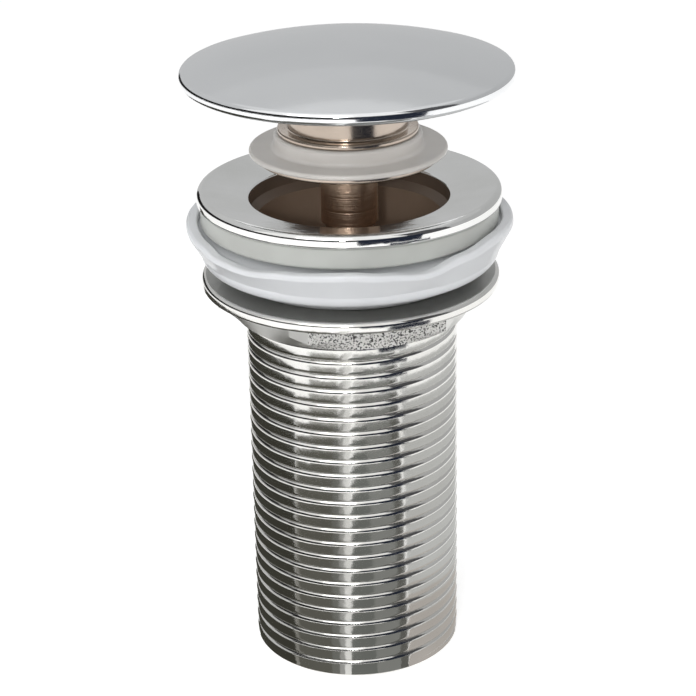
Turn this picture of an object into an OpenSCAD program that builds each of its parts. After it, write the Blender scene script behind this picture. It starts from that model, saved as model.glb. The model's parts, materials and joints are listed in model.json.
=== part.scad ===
// Pop up basin waste with a push-push plug, standing on the open end of its tail.
// Millimetres, +Z up, origin at the centre of the tail's lower end.

/* [Tail] */
// major diameter of the tail thread, one and a quarter inch pipe size
thread_d = 41.91; // [33:0.01:60]
// height of the flange's underside above the tail's lower end
tail_length = 95.3; // [70:0.1:130]
// wall of the upper tail
tail_wall = 2.955; // [1.8:0.005:5]
// wall of the lower tail, where the spider is pushed in
lower_wall = 2.555; // [1.4:0.005:4.5]
// chamfer at the tail's lower outer edge
tail_chamfer = 0.8; // [0.2:0.1:2]
// chamfer at the tail's lower inner edge
outlet_chamfer = 0.5; // [0.2:0.1:1]
// plain tail between the back nut and the relief groove
relief_gap = 0.8; // [0.5:0.1:3]
// width of the relief groove
relief_w = 0.6; // [0.4:0.1:2]
// depth of the relief groove
relief_depth = 0.45; // [0.3:0.05:1]

/* [Flange and mouth] */
// width of the flange outside the tail
flange_w = 8.595; // [5:0.005:15]
// thickness of the flange at its rim
flange_t = 2.7; // [2:0.1:5]
// round on the rim's upper edge
flange_round = 1.2; // [0.4:0.1:1.8]
// fall of the dished flange from its rim to the mouth
dish_depth = 1.9; // [0.5:0.1:2.2]
// wall around the mouth that the seal drops into
mouth_wall = 1.555; // [0.8:0.005:2.9]
// depth of the mouth down to its conical seat
mouth_depth = 2.9; // [2:0.1:8]
// round on the mouth's upper edge
mouth_round = 0.5; // [0.2:0.05:1]

/* [Gasket, washer and nut] */
// width of the flange gasket outside the tail
gasket_w = 7.945; // [5:0.005:14]
// thickness of the flange gasket
gasket_t = 4.1; // [2:0.1:8]
// reach of the cup washer's rim outside the tail
cup_w = 10.845; // [7:0.005:16]
// whole height of the cup washer
cup_h = 11.4; // [8:0.05:16]
// height of the gasket's edge that the cup washer's rim covers
cup_overlap = 1; // [0.4:0.1:2]
// depth of the recess in the cup washer
cup_recess_depth = 1.4; // [0.8:0.1:3]
// height of the cup washer's leaning wall below its rim
cup_wall_h = 6.3; // [3:0.1:8]
// lean of that wall
cup_flare = 2.65; // [1:0.05:5]
// round at the foot of that wall
cup_round_r = 2.6; // [1:0.1:4]
// width of the ring that rests on the back nut
cup_contact_w = 1.145; // [0.5:0.005:4]
// reach of the back nut's flange outside the tail
nut_flange_w = 8.245; // [5:0.005:14]
// thickness of the back nut's flange
nut_rim_t = 2.2; // [1.5:0.1:6]
// whole height of the back nut
nut_h = 7.8; // [5:0.1:16]
// wall of the back nut at the middle of a flat
nut_wall = 2.045; // [1.5:0.005:8]
// turn of the back nut's flats from the front
nut_turned = 12; // [-30:1:30]

/* [Plug] */
// diameter of the cap
cap_d = 63.6; // [50:0.1:75]
// height of the cap's lower edge above the flange when the plug is up
cap_gap = 21.1; // [18:0.1:30]
// height of the straight rim of the cap
cap_rim_h = 2.3; // [1:0.1:5]
// rise of the dome above that rim
cap_rise = 5; // [2:0.1:10]
// thickness of the cap's shell
cap_wall = 2.6; // [1.5:0.1:4]
// diameter of the neck
neck_d = 23; // [18:0.1:27]
// diameter of the neck's ring
neck_ring_d = 27.1; // [24:0.1:34]
// height of the neck's ring above the flange
neck_ring_gap = 12; // [12:0.1:14]
// diameter of the seal's hub
seal_hub_d = 28.5; // [22:0.1:34]
// whole height of the seal
seal_h = 4; // [2.5:0.1:5]
// thickness of the seal's lip
lip_t = 1.1; // [0.9:0.1:2]
// room around the seal's lip in the mouth
seal_lip_gap = 0.3; // [0.3:0.05:1]
// thickness of the ring that holds the seal
retainer_t = 1.2; // [0.8:0.1:2]
// room around that ring in the tail's bore
retainer_gap = 0.5; // [0.3:0.05:2]

/* [Cartridge] */
// outside diameter of the sliding sleeve
sleeve_d = 11.1; // [9:0.1:14]
// depth of the sleeve's lower edge under the flange when the plug is up
sleeve_sink = 7.3; // [2:0.1:12]
// diameter of the post inside the sleeve
post_d = 9.3; // [7:0.1:12]
// height of the post's top above the flange
post_rise = 6.2; // [4:0.1:6.6]
// full press of the plug
plug_travel = 11.5; // [8:0.1:11.6]
// height of the latch wire's pivot above the flange when the plug is up
pivot_rise = 15.4; // [14:0.1:15.8]
// reach of the latch wire from pivot to tip
latch_reach = 10.2; // [8:0.1:12]
// side step of the latch track
latch_step = 1.5; // [0.8:0.1:1.8]
// diameter of the latch wire
latch_wire_d = 0.76; // [0.5:0.02:1]
// diameter of the spring wire
spring_wire_d = 0.5; // [0.3:0.05:0.8]
// mean diameter of the spring
spring_mean_d = 3.1; // [2.4:0.1:4]
// turns of the spring
spring_turns = 16; // [8:1:24]
// depth of the spring's seat under the flange
spring_sink = 18; // [12:0.1:24]

/* [Spider] */
// depth of the spider's upper edge under the flange
spider_sink = 40; // [30:0.1:55]
// height of the spider's ring and arms
spider_h = 6; // [3:0.5:12]
// diameter of the spider's hub
hub_d = 13; // [10:0.1:18]
// rise of the hub above and below the arms
hub_step = 2; // [1:0.1:4]
// width of each arm
arm_w = 2.4; // [1.5:0.1:4]

/* [Hidden] */
$fn = 96;
small = 0.01;
over = 1;
slack = 0.05;
running = 0.1;
press = 0.03;
thread_r = thread_d / 2;
flange_r = thread_r + flange_w;
flange_top_z = tail_length + flange_t;
dish_r = flange_r - flange_round;
mouth_top_z = flange_top_z - dish_depth;
mouth_r = thread_r - mouth_wall;
mouth_edge_r = mouth_r + mouth_round;
bore_r = thread_r - tail_wall;
lower_bore_r = thread_r - lower_wall;
seat_z = mouth_top_z - mouth_depth;
gasket_r = thread_r + gasket_w;
gasket_low_z = tail_length - gasket_t;
gasket_round = 0.5;
cup_rim_r = thread_r + cup_w;
cup_rim_z = gasket_low_z + cup_overlap;
cup_low_z = cup_rim_z - cup_h;
cup_bore_gap = 0.3;
cup_bore_r = thread_r + cup_bore_gap;
cup_contact_r = cup_bore_r + cup_contact_w;
cup_recess_gap = 0.55;
cup_recess_r = gasket_r + cup_recess_gap;
cup_bead_r = 0.75;
cup_round_x = cup_rim_r - cup_flare - cup_round_r;
cup_round_z = cup_rim_z - cup_wall_h;
cup_floor_z = cup_rim_z - cup_recess_depth;
nut_bore_gap = 0.075;
nut_bore_r = thread_r + nut_bore_gap;
nut_lead = 0.7;
nut_round = 0.5;
nut_top_z = cup_low_z - slack;
nut_low_z = nut_top_z - nut_h;
nut_rim_low_z = nut_top_z - nut_rim_t;
nut_flange_r = thread_r + nut_flange_w;
nut_af = 2 * (thread_r + nut_wall);
hex_sides = 6;
hex_chamfer = 1;
relief_z = nut_low_z - relief_gap - relief_w;
cap_r = cap_d / 2;
cap_edge_r = 1;
cap_low_round = 0.4;
cap_low_z = flange_top_z + cap_gap;
cap_rim_z = cap_low_z + cap_rim_h;
cap_top_z = cap_rim_z + cap_rise;
dome_r = (cap_r * cap_r + cap_rise * cap_rise) / (2 * cap_rise);
dome_under_r = dome_r - cap_wall;
dome_centre_z = cap_top_z - dome_r;
cap_lip_w = 2.4;
boss_r = 8;
boss_drop = 0.3;
boss_low_z = cap_low_z - boss_drop;
land_h = 2.4;
neck_top_z = boss_low_z + land_h;
ring_groove_r = 7.1;
ring_groove_h = 1.1;
ring_groove_rise = 0.45;
ring_groove_z = boss_low_z + ring_groove_rise;
ring_wire_r = 0.45;
stud_r = 3;
stud_fit = 0.04;
stud_cover = 2.2;
stud_room = 0.3;
stud_top_z = cap_top_z - stud_cover;
head_t = 1.2;
head_low_z = boss_low_z - head_t;
spigot_h = 1.5;
spigot_low_z = head_low_z - spigot_h;
stud_floor = 0.5;
stud_low_z = spigot_low_z + stud_floor;
sleeve_r = sleeve_d / 2;
sleeve_low_z = flange_top_z - sleeve_sink;
post_r = post_d / 2;
post_top_z = flange_top_z + post_rise;
sleeve_bore_r = post_r + running;
neck_bore_r = sleeve_r + slack;
neck_r = neck_d / 2;
neck_ring_r = neck_ring_d / 2;
neck_ring_t = 1.1;
neck_ring_round = 0.35;
neck_ring_z = flange_top_z + neck_ring_gap;
ring_low_z = neck_ring_z - neck_ring_t;
spigot_r = 8;
seal_hub_r = seal_hub_d / 2;
seal_lip_r = mouth_r - seal_lip_gap;
lip_low_z = ring_low_z - seal_h;
hub_round = 0.7;
lip_round = 0.45;
retainer_r = bore_r - retainer_gap;
retainer_round = 0.4;
retainer_low_z = lip_low_z - retainer_t;
latch_y = 3.95;
latch_r = latch_wire_d / 2;
latch_pivot_z = flange_top_z + pivot_rise;
latch_home_z = latch_pivot_z - latch_reach;
track_end_z = latch_home_z - plug_travel;
track_w = 1.24;
track_catch = 1.9;
track_catch_z = track_end_z + track_catch;
track_peak = 0.5;
island_rise = 1.1;
flat_y = 3.45;
track_floor_y = 2.75;
latch_tip_y = 2.95;
latch_pin_inset = 0.15;
latch_pin_y = sleeve_r - latch_pin_inset;
pivot_play = 0.07;
pivot_hole_r = latch_r + pivot_play;
flat_foot = 1.2;
flat_low_z = track_end_z - flat_foot;
spring_play = 0.2;
spring_bore_r = spring_mean_d / 2 + spring_wire_d / 2 + spring_play;
spring_low_z = flange_top_z - spring_sink;
spring_top_z = spigot_low_z - slack;
spring_steps = 20;
spring_sides = 8;
spider_top_z = flange_top_z - spider_sink;
spider_low_z = spider_top_z - spider_h;
hub_top_z = spider_top_z + hub_step;
hub_low_z = spider_low_z - hub_step;
hub_r = hub_d / 2;
spider_fit = 0.04;
spider_ring_r = lower_bore_r - spider_fit;
spider_ring_w = 1.9;
arm_count = 4;
arm_turned = 45;
shank_r = 4;
shank_end = 1.5;
collar_af = 11;
collar_h = 4;
collar_top_z = hub_top_z + collar_h;
lock_washer_t = 1.8;
lock_washer_r = 6.3;
lock_washer_slit = 1;
lock_nut_h = 6.5;
lock_nut_af = 13;
lock_nut_top_z = hub_low_z - lock_washer_t;
lock_nut_low_z = lock_nut_top_z - lock_nut_h;
shank_low_z = lock_nut_low_z - shank_end;
high = 200;

// circle's radius over the corners of a hexagon of the given width
function corner_r(width) = width / sqrt(3);

// rectangle with its corners rounded on the right-hand side
module round_bar(inner, outer, low, top, r) {
    translate([inner, low]) square([outer - inner - r, top - low]);
    translate([inner, low + r]) square([outer - inner, top - low - 2 * r]);
    translate([outer - r, low + r]) circle(r);
    translate([outer - r, top - r]) circle(r);
}

// flat underside, rounded rim and a top that falls towards the mouth
module flange_profile() {
    polygon([
        [0, tail_length], [flange_r, tail_length], [flange_r, flange_top_z - flange_round],
        [dish_r, flange_top_z - flange_round], [dish_r, flange_top_z],
        [mouth_edge_r, mouth_top_z], [0, mouth_top_z]
    ]);
    translate([dish_r, flange_top_z - flange_round]) circle(flange_round);
}

module tail_outline() {
    polygon([
        [0, 0], [thread_r - tail_chamfer, 0], [thread_r, tail_chamfer],
        [thread_r, relief_z], [thread_r - relief_depth, relief_z],
        [thread_r - relief_depth, relief_z + relief_w], [thread_r, relief_z + relief_w],
        [thread_r, tail_length + small], [0, tail_length + small]
    ]);
}

module waterway() {
    seat_h = mouth_r - bore_r;
    polygon([
        [0, -over], [lower_bore_r + outlet_chamfer + over, -over],
        [lower_bore_r, outlet_chamfer],
        [lower_bore_r, spider_top_z], [bore_r, spider_top_z],
        [bore_r, seat_z - seat_h], [mouth_r, seat_z],
        [mouth_r, mouth_top_z - mouth_round], [mouth_edge_r, mouth_top_z],
        [mouth_edge_r, mouth_top_z + over], [0, mouth_top_z + over]
    ]);
}

module mouth_lip() {
    translate([mouth_edge_r, mouth_top_z - mouth_round]) circle(mouth_round);
}

module tail_body() {
    color([0.78, 0.77, 0.74]) rotate_extrude($fn = 180) {
        difference() {
            union() {
                flange_profile();
                tail_outline();
            }
            waterway();
        }
        mouth_lip();
    }
}

module flange_gasket() {
    color([0.55, 0.57, 0.54]) rotate_extrude($fn = 180)
        round_bar(thread_r + slack, gasket_r, gasket_low_z, tail_length, gasket_round);
}

// wall leaning out from a rounded foot to the rim, and an underside falling to the contact ring
module cup_profile() {
    cone_top_z = cup_rim_z - cup_bead_r;
    span_x = cup_round_x - cup_contact_r;
    span_z = cup_round_z - cup_low_z;
    span = sqrt(span_x * span_x + span_z * span_z);
    under = atan2(span_z, span_x) - asin(cup_round_r / span);
    under_l = sqrt(span * span - cup_round_r * cup_round_r);
    difference() {
        union() {
            polygon([
                [0, cup_low_z], [cup_contact_r, cup_low_z],
                [cup_contact_r + under_l * cos(under), cup_low_z + under_l * sin(under)],
                [cup_round_x, cup_round_z], [cup_round_x + cup_round_r, cup_round_z],
                [cup_rim_r, cone_top_z], [0, cone_top_z]
            ]);
            translate([cup_round_x, cup_round_z]) circle(cup_round_r, $fn = 180);
            translate([cup_rim_r - cup_bead_r, cone_top_z]) circle(cup_bead_r);
        }
        translate([-over, cup_low_z - over]) square([cup_bore_r + over, high]);
        translate([0, cup_floor_z]) square([cup_recess_r, high]);
    }
}

module cup_washer() {
    color([0.93, 0.94, 0.96]) rotate_extrude($fn = 180) cup_profile();
}

module nut_ring_profile() {
    round_bar(0, nut_flange_r, nut_rim_low_z, nut_top_z, nut_round);
}

module nut_bore_profile() {
    mouth = nut_bore_r + nut_lead + over;
    polygon([
        [0, nut_low_z - over], [mouth, nut_low_z - over],
        [nut_bore_r, nut_low_z + nut_lead], [nut_bore_r, nut_top_z - nut_lead],
        [mouth, nut_top_z + over], [0, nut_top_z + over]
    ]);
}

module hex_limit_profile() {
    limit_r = corner_r(nut_af);
    polygon([
        [0, nut_low_z], [limit_r - hex_chamfer * 2, nut_low_z],
        [limit_r + small, nut_low_z + hex_chamfer * 1.1],
        [limit_r + small, nut_rim_low_z + over], [0, nut_rim_low_z + over]
    ]);
}

module back_nut() {
    color([0.72, 0.71, 0.69]) difference() {
        union() {
            rotate_extrude($fn = 180) nut_ring_profile();
            intersection() {
                translate([0, 0, nut_low_z]) rotate(nut_turned) cylinder(
                    r = corner_r(nut_af), h = nut_h - over, $fn = hex_sides);
                rotate_extrude($fn = 180) hex_limit_profile();
            }
        }
        rotate_extrude($fn = 180) nut_bore_profile();
    }
}

module cap_outline() {
    intersection() {
        union() {
            translate([0, cap_low_z + cap_low_round]) square([cap_r, cap_rim_h + cap_rise]);
            translate([0, cap_low_z]) square([cap_r - cap_low_round, cap_rim_h]);
            translate([cap_r - cap_low_round, cap_low_z + cap_low_round]) circle(cap_low_round);
        }
        translate([0, dome_centre_z]) circle(dome_r, $fn = 360);
    }
}

module cap_hollow() {
    intersection() {
        translate([0, cap_low_z - over]) square([cap_r - cap_lip_w, high]);
        translate([0, dome_centre_z]) circle(dome_under_r, $fn = 360);
    }
}

module cap_edge_cut() {
    edge_x = cap_r - cap_edge_r;
    edge_z = cap_rim_z - cap_edge_r * 0.75;
    difference() {
        translate([edge_x, edge_z]) square(cap_edge_r * 3);
        translate([edge_x, edge_z]) circle(cap_edge_r);
    }
}

module plug_cap() {
    color([0.74, 0.74, 0.75]) rotate_extrude($fn = 180) intersection() {
        union() {
            difference() {
                cap_outline();
                cap_hollow();
                cap_edge_cut();
            }
            difference() {
                translate([0, boss_low_z]) square([boss_r, cap_top_z - boss_low_z - cap_wall / 2]);
                translate([ring_groove_r, ring_groove_z]) square([boss_r, ring_groove_h]);
            }
            translate([0, neck_top_z]) square([neck_r, cap_top_z - neck_top_z - cap_wall / 2]);
        }
        difference() {
            square([cap_r + over, high]);
            translate([-over, boss_low_z - over])
                square([stud_r + stud_fit + over, stud_top_z - boss_low_z + stud_room + over]);
        }
    }
}

module plug_neck() {
    color([0.80, 0.76, 0.71]) rotate_extrude($fn = 144) difference() {
        union() {
            translate([0, ring_low_z]) square([neck_r, neck_top_z - ring_low_z]);
            round_bar(0, neck_ring_r, ring_low_z, neck_ring_z, neck_ring_round);
            translate([0, retainer_low_z]) square([spigot_r, ring_low_z - retainer_low_z + small]);
        }
        translate([-over, retainer_low_z - over]) square([neck_bore_r + over, high]);
        translate([0, boss_low_z]) square([boss_r + slack, high]);
    }
}

module neck_o_ring() {
    color([0.10, 0.10, 0.10]) rotate_extrude($fn = 96)
        translate([ring_groove_r + ring_wire_r, ring_groove_z + ring_groove_h / 2])
            circle(ring_wire_r);
}

module plug_seal() {
    hub_top = ring_low_z;
    lip_top = lip_low_z + lip_t;
    color([0.72, 0.71, 0.68]) rotate_extrude($fn = 144) difference() {
        union() {
            round_bar(0, seal_hub_r, lip_low_z, hub_top, hub_round);
            round_bar(0, seal_lip_r, lip_low_z, lip_top, lip_round);
        }
        translate([-over, lip_low_z - over]) square([spigot_r + slack + over, high]);
    }
}

module seal_retainer() {
    color([0.75, 0.72, 0.68]) rotate_extrude($fn = 144)
        round_bar(spigot_r + slack, retainer_r, retainer_low_z, lip_low_z, retainer_round);
}

module cap_stud() {
    color([0.70, 0.70, 0.70]) translate([0, 0, stud_low_z])
        cylinder(r = stud_r, h = stud_top_z - stud_low_z, $fn = 64);
}

module sleeve_head() {
    color([0.76, 0.66, 0.42]) rotate_extrude($fn = 96) difference() {
        union() {
            translate([0, head_low_z]) square([sleeve_r, head_t]);
            translate([0, spigot_low_z]) square([sleeve_bore_r - press, spigot_h + small]);
        }
        translate([-over, stud_low_z]) square([stud_r + stud_fit + over, high]);
    }
}

module push_sleeve() {
    color([0.72, 0.56, 0.40]) difference() {
        rotate_extrude($fn = 96) difference() {
            translate([0, sleeve_low_z]) square([sleeve_r, head_low_z - sleeve_low_z]);
            translate([-over, sleeve_low_z - over]) square([sleeve_bore_r + over, high]);
        }
        translate([0, 0, latch_pivot_z]) rotate([-90, 0, 0])
            cylinder(r = pivot_hole_r, h = sleeve_r + over, $fn = 32);
    }
}

module latch_wire() {
    color([0.62, 0.62, 0.64]) {
        translate([0, latch_y, latch_home_z])
            cylinder(r = latch_r, h = latch_reach, $fn = 32);
        translate([0, latch_y, latch_pivot_z]) rotate([-90, 0, 0])
            cylinder(r = latch_r, h = latch_pin_y - latch_y, $fn = 32);
        translate([0, latch_tip_y, latch_home_z]) rotate([-90, 0, 0])
            cylinder(r = latch_r, h = latch_y - latch_tip_y, $fn = 32);
        translate([0, latch_y, latch_pivot_z]) sphere(latch_r, $fn = 32);
        translate([0, latch_y, latch_home_z]) sphere(latch_r, $fn = 32);
    }
}

// heart-shaped track drawn in the plane of the post's flat: the outer outline, less the island
module latch_track() {
    half = track_w / 2;
    inner_x = latch_step - half;
    outer_x = latch_step + half;
    floor_z = track_end_z - half;
    island_z = track_end_z + island_rise;
    island_x = latch_step * (latch_home_z - island_z) / plug_travel - half;
    island_top_z = latch_home_z - plug_travel * half / latch_step;
    difference() {
        polygon([
            [half, latch_home_z + half], [half, latch_home_z], [outer_x, track_end_z],
            [outer_x, floor_z], [inner_x, floor_z], [0, track_end_z + track_peak],
            [-inner_x, floor_z], [-outer_x, floor_z], [-outer_x, track_end_z],
            [-half, latch_home_z], [-half, latch_home_z + half]
        ]);
        polygon([
            [0, island_top_z], [island_x, island_z],
            [0, track_catch_z + half], [-island_x, island_z]
        ]);
    }
}

module cam_post() {
    color([0.70, 0.58, 0.40]) difference() {
        union() {
            translate([0, 0, collar_top_z - small])
                cylinder(r = post_r, h = post_top_z - collar_top_z + small, $fn = 96);
            translate([0, 0, hub_top_z])
                cylinder(r = corner_r(collar_af), h = collar_h, $fn = hex_sides);
            translate([0, 0, shank_low_z])
                cylinder(r = shank_r, h = hub_top_z - shank_low_z + small, $fn = 64);
        }
        translate([0, 0, spring_low_z])
            cylinder(r = spring_bore_r, h = high, $fn = 64);
        translate([-post_r, flat_y, flat_low_z]) cube([post_r * 2, post_r, high]);
        translate([0, post_r, 0]) rotate([90, 0, 0])
            linear_extrude(post_r - track_floor_y) latch_track();
    }
}

module lock_washer() {
    color([0.55, 0.55, 0.57]) difference() {
        translate([0, 0, lock_nut_top_z])
            cylinder(r = lock_washer_r, h = lock_washer_t, $fn = 64);
        translate([0, 0, lock_nut_top_z - over])
            cylinder(r = shank_r + slack, h = high, $fn = 64);
        translate([0, -lock_washer_slit / 2, lock_nut_top_z - over])
            cube([lock_washer_r + over, lock_washer_slit, lock_washer_t + 2 * over]);
    }
}

module lock_nut() {
    color([0.72, 0.60, 0.38]) difference() {
        translate([0, 0, lock_nut_low_z])
            cylinder(r = corner_r(lock_nut_af), h = lock_nut_h, $fn = hex_sides);
        translate([0, 0, lock_nut_low_z - over])
            cylinder(r = shank_r + press, h = lock_nut_h + 2 * over, $fn = 64);
    }
}

module spider() {
    arm_reach = spider_ring_r - spider_ring_w / 2;
    color([0.66, 0.54, 0.34]) difference() {
        union() {
            translate([0, 0, spider_low_z]) difference() {
                cylinder(r = spider_ring_r, h = spider_h, $fn = 144);
                translate([0, 0, -over])
                    cylinder(r = spider_ring_r - spider_ring_w, h = spider_h + 2 * over, $fn = 144);
            }
            translate([0, 0, hub_low_z]) cylinder(r = hub_r, h = hub_top_z - hub_low_z, $fn = 96);
            for (arm = [0 : arm_count - 1])
                rotate(arm_turned + arm * 360 / arm_count)
                    translate([0, -arm_w / 2, spider_low_z]) cube([arm_reach, arm_w, spider_h]);
        }
        translate([0, 0, hub_low_z - over]) cylinder(r = shank_r + press, h = high, $fn = 64);
    }
}

// helical coil drawn as rings of wire points joined along the helix
module return_spring() {
    wire_r = spring_wire_d / 2;
    coil_r = spring_mean_d / 2;
    steps = spring_turns * spring_steps;
    first_z = spring_low_z + slack + wire_r;
    rise = spring_top_z - wire_r - first_z;
    points = [
        for (i = [0 : steps]) for (j = [0 : spring_sides - 1])
            let (turn = i * 360 / spring_steps)
            let (side = j * 360 / spring_sides)
            let (r = coil_r + wire_r * cos(side))
            [r * cos(turn), r * sin(turn), first_z + rise * i / steps + wire_r * sin(side)]
    ];
    walls = [
        for (i = [0 : steps - 1]) for (j = [0 : spring_sides - 1])
            let (k = (j + 1) % spring_sides)
            let (a = i * spring_sides)
            let (b = a + spring_sides)
            [a + j, a + k, b + k, b + j]
    ];
    start_cap = [for (j = [spring_sides - 1 : -1 : 0]) j];
    end_cap = [for (j = [0 : spring_sides - 1]) steps * spring_sides + j];
    color([0.60, 0.60, 0.62])
        polyhedron(points = points, faces = concat(walls, [start_cap], [end_cap]), convexity = 4);
}

tail_body();
flange_gasket();
cup_washer();
back_nut();
plug_cap();
plug_neck();
neck_o_ring();
plug_seal();
seal_retainer();
cap_stud();
sleeve_head();
push_sleeve();
latch_wire();
cam_post();
return_spring();
spider();
lock_washer();
lock_nut();
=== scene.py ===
# %% [markdown]
# A pop up basin waste: a domed plug over a flanged, threaded tail, with a rubber gasket, a white
# cup washer and a back nut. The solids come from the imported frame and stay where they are. This
# lesson turns the pieces that the camera sees into smooth turned shapes, cuts the thread that the
# solids leave out, and gives every piece its finish, its light and its camera.

import json
import math

import bmesh
import bpy
from mathutils import Matrix, Vector


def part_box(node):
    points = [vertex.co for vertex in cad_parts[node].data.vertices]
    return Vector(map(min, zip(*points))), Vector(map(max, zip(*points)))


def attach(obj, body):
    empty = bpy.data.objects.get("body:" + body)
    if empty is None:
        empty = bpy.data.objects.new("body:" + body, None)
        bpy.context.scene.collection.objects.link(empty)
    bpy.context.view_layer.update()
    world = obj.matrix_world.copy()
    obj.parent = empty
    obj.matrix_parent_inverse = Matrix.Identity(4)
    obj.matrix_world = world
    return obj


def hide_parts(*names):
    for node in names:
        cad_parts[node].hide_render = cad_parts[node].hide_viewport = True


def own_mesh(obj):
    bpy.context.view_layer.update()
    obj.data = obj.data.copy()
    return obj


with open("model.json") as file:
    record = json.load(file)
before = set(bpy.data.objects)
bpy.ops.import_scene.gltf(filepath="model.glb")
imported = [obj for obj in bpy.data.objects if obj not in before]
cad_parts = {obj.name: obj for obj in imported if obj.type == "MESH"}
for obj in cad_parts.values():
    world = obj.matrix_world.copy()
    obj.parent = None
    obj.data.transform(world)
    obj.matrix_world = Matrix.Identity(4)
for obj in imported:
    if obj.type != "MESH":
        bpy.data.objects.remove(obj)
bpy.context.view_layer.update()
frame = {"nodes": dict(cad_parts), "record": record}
MM = 0.001
TURN = 2 * math.pi

# %% [markdown]
# Every size starts from the frame. The outside of a turned node is described by its reach from the
# axis and its lowest and highest point, so one small helper reads those three numbers in
# millimetres. The thread's radius comes from the record's own mount.

# %% Read sizes from the frame


def reach(node):
    """Radius, low and top of a turned node, in millimetres."""
    low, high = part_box(node)
    return high.x / MM, low.z / MM, high.z / MM


mounts = {mount["name"]: mount for mount in frame["record"]["mounts"]}
THREAD_R = mounts["tail_thread"]["dims"]["r_mm"]
cap_r, cap_foot, cap_top = reach("plug_cap")
flange_r, tail_low, flange_top = reach("tail_body")
print("cap radius:", round(cap_r, 2), "flange radius:", round(flange_r, 2), "thread:", THREAD_R)

# %% [markdown]
# Nearly every piece here is made on a lathe, so the main tool is a half section that is drawn in
# the XZ plane and turned about Z. A line is one extruded vertex. A round stretch is that vertex
# spun about a centre. A broken corner is a bevel of one vertex. Drawing it this way keeps the
# true arcs, where a subdivided block would only come near them.

# %% A half section drawn with edges

CORNER_STEPS = 4


class Section:
    """A chain of edges in the XZ plane, in millimetres, from a first point to the tip."""

    def __init__(self, x, z):
        self.mesh = bmesh.new()
        self.tip = self.mesh.verts.new((x * MM, 0, z * MM))
        self.start = self.tip.co.copy()
        self.corners = []

    def corner(self, round_r):
        """Asks for the corner at the tip to be rounded, if the radius isn't 0."""
        if round_r:
            self.corners.append((self.tip, round_r * MM))
        return self

    def line(self, x, z, round_r=0):
        """A straight stretch to x, z; the corner there may be rounded."""
        made = bmesh.ops.extrude_vert_indiv(self.mesh, verts=[self.tip])
        self.tip = made["verts"][0]
        self.tip.co = (x * MM, 0, z * MM)
        return self.corner(round_r)

    def arc(self, centre_x, centre_z, degrees, steps, round_r=0):
        """A round stretch about a centre; positive degrees go from up towards +X."""
        made = bmesh.ops.spin(
            self.mesh, geom=[self.tip], cent=(centre_x * MM, 0, centre_z * MM), axis=(0, 1, 0),
            angle=math.radians(degrees), steps=steps, use_duplicate=False)
        self.tip = [item for item in made["geom_last"] if isinstance(item, bmesh.types.BMVert)][0]
        return self.corner(round_r)

    def roll(self, radius, start, end, steps):
        """A round stretch on from the tip, whose outward side turns between two angles from +X."""
        centre_x = self.tip.co.x / MM - radius * math.cos(math.radians(start))
        centre_z = self.tip.co.z / MM - radius * math.sin(math.radians(start))
        return self.arc(centre_x, centre_z, start - end, steps)

    def close(self):
        """Joins the tip to the first point, so the turned piece is a ring with a closed wall."""
        self.mesh.verts.ensure_lookup_table()
        self.mesh.edges.new((self.tip, self.mesh.verts[0]))
        return self

    def soften(self):
        """Rounds the corners that were asked for."""
        for vert, radius in self.corners:
            ends = [edge.other_vert(vert).co - vert.co for edge in vert.link_edges]
            half = ends[0].angle(ends[1]) / 2
            bmesh.ops.bevel(
                self.mesh, geom=[vert], offset=radius / math.tan(half), offset_type="OFFSET",
                segments=CORNER_STEPS, profile=0.5, affect="VERTICES", material=-1)
        self.corners = []
        return self


# %% [markdown]
# Turning is one spin of the whole section through a full circle. The first and the last copy meet,
# so they are merged, and so are the points on the axis. The Screw modifier would do much the same;
# the operator leaves a plain mesh that later steps can cut, bend and grow.

# %% Turn a section

LATHE_STEPS = 180
WELD = 1e-6


def lathe(section):
    """Turns a section about Z into a closed mesh with its faces outwards."""
    mesh = section.soften().mesh
    bmesh.ops.spin(
        mesh, geom=mesh.verts[:] + mesh.edges[:], cent=(0, 0, 0), axis=(0, 0, 1),
        angle=TURN, steps=LATHE_STEPS, use_merge=True, use_duplicate=False)
    bmesh.ops.remove_doubles(mesh, verts=mesh.verts[:], dist=WELD)
    bmesh.ops.recalc_face_normals(mesh, faces=mesh.faces[:])
    return mesh


# %% [markdown]
# A finished mesh becomes an object at the origin, with its place in its vertices, as the solids
# have. It is shaded smooth, with a sharp edge only where two faces meet at a clear angle, and the
# normals are weighted by area so that a flat face beside a small round stays flat in a reflection.
# It rides on its body, stands in for its solid and takes its finishes.

# %% Make a piece from a mesh

SHARP_DEG = 32


def link_mesh(name, mesh):
    """Makes an object from a bmesh, and lets go of the bmesh."""
    data = bpy.data.meshes.new(name)
    mesh.to_mesh(data)
    mesh.free()
    made = bpy.data.objects.new(name, data)
    bpy.context.scene.collection.objects.link(made)
    return made


def make_piece(name, mesh, body, node, finishes):
    """Links a mesh as a piece that replaces a node and rides on its body."""
    made = link_mesh(name, mesh)
    made.data.shade_smooth()
    made.data.set_sharp_from_angle(angle=math.radians(SHARP_DEG))
    for finish in finishes:
        made.data.materials.append(finish)
    level = made.modifiers.new("flat_faces", "WEIGHTED_NORMAL")
    level.keep_sharp = True
    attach(made, body)
    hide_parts(node)
    print(name, "faces:", len(made.data.polygons))
    return made


# %% [markdown]
# Each finish starts as a Principled shader, which suits metal, rubber and plastic alike. Two more
# helpers keep the node trees short: one adds a node, and one joins two sockets.

# %% Start a finish


def new_finish(name, metallic, roughness):
    """A material and its Principled shader."""
    made = bpy.data.materials.new(name)
    made.use_nodes = True
    shader = made.node_tree.nodes["Principled BSDF"]
    shader.inputs["Metallic"].default_value = metallic
    shader.inputs["Roughness"].default_value = roughness
    print("finish:", name)
    return made, shader


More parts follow.
